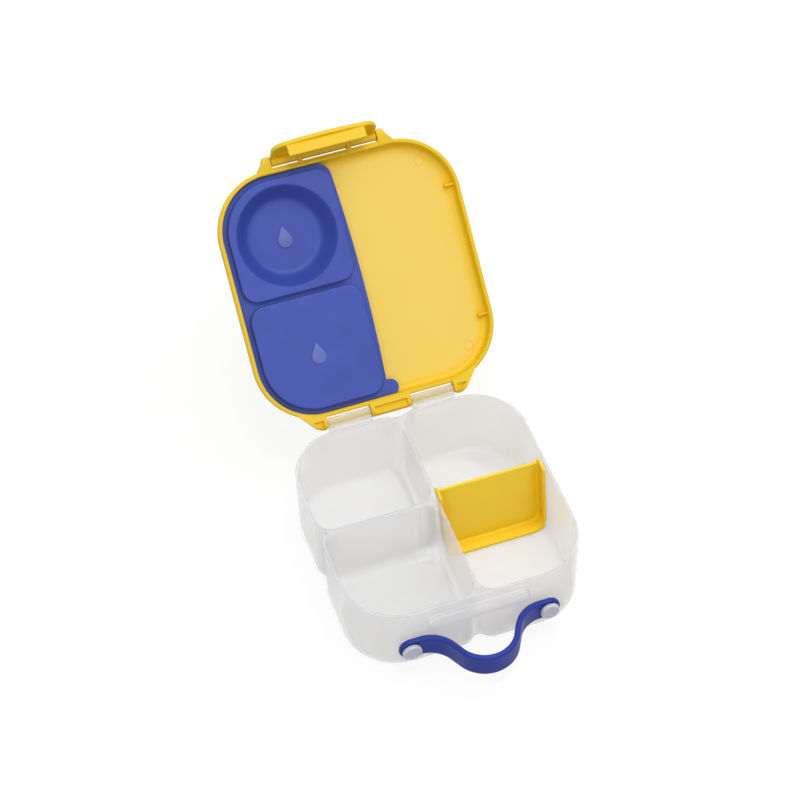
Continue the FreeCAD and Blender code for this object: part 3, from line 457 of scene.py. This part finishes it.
class StrapPath:
    """The strap's right half: a bend, a straight run, a bend back and a flat end, wider in the middle."""

    def __init__(self, low, high):
        self.half = STRAP_END / 2
        self.swell = (high.z - low.z) / STRAP_END - 1
        self.z = (low.z + high.z) / 2
        self.level = high.y - STRAP_THICK / 2
        self.stud_x = high.x - self.half
        nearest = low.y + STRAP_THICK / 2
        self.outer = Vector((0, nearest + STRAP_BEND_OUTER))
        self.inner = Vector((self.stud_x - STRAP_FLAT, self.level - STRAP_BEND_WALL))
        way = self.inner - self.outer
        bends = STRAP_BEND_OUTER + STRAP_BEND_WALL
        self.run = math.sqrt(way.length_squared - bends ** 2)
        self.slope = math.atan2(way.y, way.x) + math.atan2(bends, self.run)
        self.bend_end = STRAP_BEND_OUTER * self.slope
        self.run_end = self.bend_end + self.run
        self.flat_start = self.run_end + STRAP_BEND_WALL * self.slope
        self.eye = self.flat_start + STRAP_FLAT

    def middle(self, along):
        """Point and outward direction at a distance from the strap's middle."""
        if along <= self.bend_end:
            way = along / STRAP_BEND_OUTER
            out = Vector((math.sin(way), -math.cos(way)))
            return self.outer + out * STRAP_BEND_OUTER, out
        if along <= self.run_end:
            out = Vector((math.sin(self.slope), -math.cos(self.slope)))
            ahead = Vector((math.cos(self.slope), math.sin(self.slope)))
            return self.outer + out * STRAP_BEND_OUTER + ahead * (along - self.bend_end), out
        if along <= self.flat_start:
            way = self.slope - (along - self.run_end) / STRAP_BEND_WALL
            out = Vector((math.sin(way), -math.cos(way)))
            return self.inner - out * STRAP_BEND_WALL, out
        ahead = Vector((along - self.flat_start, STRAP_BEND_WALL))
        return self.inner + ahead, Vector((0, -1))

    def place(self, flat):
        """Where a point of the flat strap comes to lie: along, across and outward."""
        point, out = self.middle(abs(flat.x))
        at = point + out * flat.z
        wider = 1 + self.swell * max(0.0, 1 - (point.x / self.stud_x) ** 2)
        return Vector((math.copysign(at.x, flat.x), at.y, self.z + flat.y * wider))


def eye_border(angle, half):
    """Edge of the strap's end, seen from the eye at that angle: round outside, square towards the strap."""
    way = Vector((math.cos(angle), math.sin(angle)))
    if way.x >= 0:
        return way * half
    return way * (half / max(abs(way.x), abs(way.y)))


def strap_layer(path):
    """Flat points and faces of one side of the strap: a strip with an eye at each end."""
    turns = round(2 * math.pi / EYE_STEP)
    eighth = round(math.pi / 4 / EYE_STEP)
    rows = [path.half * math.tan(k * EYE_STEP) for k in range(-eighth, eighth + 1)]
    reach = path.eye - path.half
    columns = 2 * round(reach / STRAP_PITCH)
    points = {}
    faces = []

    def corner(x, y):
        return points.setdefault((round(x, 8), round(y, 8)), len(points))

    for c in range(columns):
        x0, x1 = (reach * (2 * k / columns - 1) for k in (c, c + 1))
        for y0, y1 in zip(rows, rows[1:]):
            faces.append([corner(x0, y0), corner(x1, y0), corner(x1, y1), corner(x0, y1)])
    for side in (-1, 1):
        grid = []
        for t in range(turns):
            angle = t * EYE_STEP
            border = eye_border(angle, path.half)
            hole = Vector((math.cos(angle), math.sin(angle))) * STRAP_EYE_R
            ring = [hole.lerp(border, r / EYE_RINGS) for r in range(EYE_RINGS + 1)]
            grid.append([corner(side * (path.eye + p.x), p.y) for p in ring])
        for t in range(turns):
            one, two = grid[t], grid[(t + 1) % turns]
            for r in range(EYE_RINGS):
                faces.append([one[r], one[r + 1], two[r + 1], two[r]])
    return list(points), faces


def make_strap(material):
    """Soft strap with rounded edges, bent along its path."""
    path = StrapPath(*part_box("handle_strap"))
    flat, faces = strap_layer(path)
    made = bmesh.new()
    layers = []
    for height in (-STRAP_THICK / 2, STRAP_THICK / 2):
        layers.append([made.verts.new((x, y, height)) for x, y in flat])
    for layer in layers:
        for face in faces:
            made.faces.new([layer[i] for i in face])
    twin = dict(zip(*layers))
    twin.update({b: a for a, b in twin.items()})
    border = [e for e in made.edges if e.is_boundary]
    lower = set(layers[0])
    for edge in [e for e in border if e.verts[0] in lower]:
        a, b = edge.verts
        made.faces.new([a, b, twin[b], twin[a]])
    bmesh.ops.recalc_face_normals(made, faces=made.faces)
    rounding = {"offset": STRAP_EDGE, "segments": STRAP_EDGE_STEPS, "profile": STRAP_EDGE_ROUND}
    bmesh.ops.bevel(made, geom=border, affect="EDGES", **rounding)
    for vertex in made.verts:
        vertex.co = path.place(vertex.co)
    strap = from_bmesh("carry_strap", made, material)
    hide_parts("handle_strap")
    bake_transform(strap)
    return strap


def drop_outline(inset):
    """Water-drop outline round its middle, moved inward, with its point towards -y."""
    radius = DROP_R - inset
    centre = Vector((0, DROP_LENGTH / 2 - DROP_R))
    lean = math.asin(DROP_R / (DROP_LENGTH - DROP_R))
    tip = centre - Vector((0, radius / math.sin(lean)))
    points = [tip]
    sweep = math.pi + 2 * lean
    for k in range(DROP_STEPS + 1):
        angle = -lean + sweep * k / DROP_STEPS
        points.append(centre + Vector((math.cos(angle), math.sin(angle))) * radius)
    return points


def make_drop(name, centre, face_z, material):
    """Raised water-drop mark with a rounded edge, on a face that looks down when the lid is closed."""
    levels = ((-DROP_COVER, -DROP_ROOT), (-DROP_COVER, DROP_HEIGHT - DROP_ROUND))
    levels += ((DROP_ROUND_MIDDLE, DROP_HEIGHT - DROP_ROUND_MIDDLE), (DROP_ROUND, DROP_HEIGHT))
    points = []
    for inset, height in levels:
        for p in drop_outline(inset):
            points.append(CLOSED_TO_REST @ Vector((centre.x + p.x, centre.y + p.y, face_z - height)))
    count = len(points) // len(levels)
    faces = []
    for level in range(len(levels) - 1):
        for k in range(count):
            one, two = level * count + k, level * count + (k + 1) % count
            faces.append([one, two, two + count, one + count])
    faces.append(list(range(count)))
    faces.append(list(range(len(points) - count, len(points))))
    drop = mesh_object(name, points, faces, material)
    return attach(drop, "seal")


def make_ejector(name, centre, material):
    """Thin raised ring that an ejector pin leaves on the panel."""
    points = []
    for k in range(EJECTOR_STEPS):
        angle = 2 * math.pi * k / EJECTOR_STEPS
        for out, up in EJECTOR_SECTION:
            radius = EJECTOR_R + out * EJECTOR_WIDTH
            x, y = centre.x + radius * math.cos(angle), centre.y + radius * math.sin(angle)
            points.append(CLOSED_TO_REST @ Vector((x, y, PANEL_Z - up * EJECTOR_PROUD)))
    faces = []
    width = len(EJECTOR_SECTION)
    for k in range(EJECTOR_STEPS):
        for j in range(width):
            one, two = k * width, (k + 1) % EJECTOR_STEPS * width
            faces.append([one + j, two + j, two + (j + 1) % width, one + (j + 1) % width])
    ring = mesh_object(name, points, faces, material)
    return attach(ring, "lid")


def make_floor():
    """Plain pale floor that shows white behind the object and keeps its shadow."""
    material, tree, shader = new_material("pale_floor")
    tree.nodes.remove(shader)
    path = add_node(tree, "ShaderNodeLightPath")
    seen = path.outputs["Is Camera Ray"]
    for kind in ("Is Glossy Ray", "Is Transmission Ray"):
        seen = math_of(tree, "MAXIMUM", seen, path.outputs[kind])
    share = math_of(tree, "MULTIPLY", seen, FLOOR_GLOW)
    matt = add_node(tree, "ShaderNodeBsdfDiffuse", {"Color": mixed(tree, seen, FLOOR_BOUNCE, FLOOR_SEEN)})
    white = add_node(tree, "ShaderNodeEmission", {"Strength": BACKDROP_WHITE})
    mix = add_node(tree, "ShaderNodeMixShader", {0: share, 1: matt.outputs[0], 2: white.outputs[0]})
    tree.links.new(mix.outputs[0], tree.nodes["Material Output"].inputs["Surface"])
    half = FLOOR_SIDE / 2
    corners = [(-half, -half, 0), (half, -half, 0), (half, half, 0), (-half, half, 0)]
    mesh_object("floor", corners, [(0, 1, 2, 3)], material)


def make_world():
    """Even light from all round, white to the camera."""
    world = bpy.data.worlds.new("studio")
    bpy.context.scene.world = world
    world.use_nodes = True
    tree = world.node_tree
    path = add_node(tree, "ShaderNodeLightPath")
    strength = spread(tree, path.outputs["Is Camera Ray"], WORLD_LIGHT, BACKDROP_WHITE, 0.0, 1.0)
    background = tree.nodes["Background"]
    background.inputs["Color"].default_value = WHITE
    tree.links.new(strength, background.inputs["Strength"])


def make_lamp(name, place, side, power):
    """Square soft lamp that looks at the object."""
    data = bpy.data.lights.new(name, "AREA")
    data.shape = "SQUARE"
    data.size = side
    data.energy = power
    lamp = bpy.data.objects.new(name, data)
    aim = (LAMP_AIM - place).to_track_quat("-Z", "Y").to_matrix().to_4x4()
    lamp.matrix_world = Matrix.Translation(place) @ aim
    bpy.context.scene.collection.objects.link(lamp)


def make_camera():
    """Camera at the photograph's angle."""
    turn, lift = math.radians(CAMERA_AZIMUTH), math.radians(CAMERA_ELEVATION)
    right = Vector((math.cos(turn), math.sin(turn), 0))
    back = Vector((math.sin(turn) * math.cos(lift), -math.cos(turn) * math.cos(lift), math.sin(lift)))
    upright = Matrix((right, back.cross(right), back)).transposed().to_4x4()
    rolled = upright @ Matrix.Rotation(math.radians(CAMERA_ROLL), 4, "Z")
    data = bpy.data.cameras.new("camera")
    data.lens = CAMERA_LENS
    data.sensor_width = CAMERA_SENSOR
    data.clip_end = CLIP_END
    camera = bpy.data.objects.new("camera", data)
    rim_middle = Vector((0, TRAY_Y, RIM_Z))
    camera.matrix_world = Matrix.Translation(rim_middle + CAMERA_FROM_RIM) @ rolled
    bpy.context.scene.collection.objects.link(camera)
    bpy.context.scene.camera = camera


yellow_finish = yellow_plastic("yellow_moulding", YELLOW, YELLOW_PANEL_BACKLIT)
divider_finish = yellow_plastic("yellow_divider", YELLOW_DIVIDER_LIT, YELLOW_DIVIDER_LIT)
tray_finish = frosted_tray()
stud_finish = frosted_stud()
seal_finish = seal_silicone()
strap_finish, *_ = silicone("blue_strap", BLUE_STRAP)
mark_finish, *_ = silicone("blue_mark", BLUE_MARK)

for yellow in ("lid", "latch", "latch_pin", "hinge_pin_left", "hinge_pin_right"):
    dress(yellow, yellow_finish)
dress("divider", divider_finish)
dress("tray", tray_finish)
for stud in ("handle_stud_left", "handle_stud_right"):
    dress(stud, stud_finish)
dress("seal", seal_finish)

make_strap(strap_finish)
make_drop("drop_mark_bowl", BOWL_MIDDLE, BOWL_FLOOR_Z, mark_finish)
make_drop("drop_mark_pad", REAR_MIDDLE, PAD_FACE_Z, mark_finish)
for number, place in enumerate(EJECTORS):
    make_ejector(f"ejector_mark_{number + 1}", place, yellow_finish)

make_floor()
make_world()
for name, lamp in (("key", KEY), ("top", TOP), ("front", FRONT), ("back", BACK)):
    make_lamp(name, *lamp)
make_camera()
bpy.context.scene.view_settings.view_transform = "Standard"
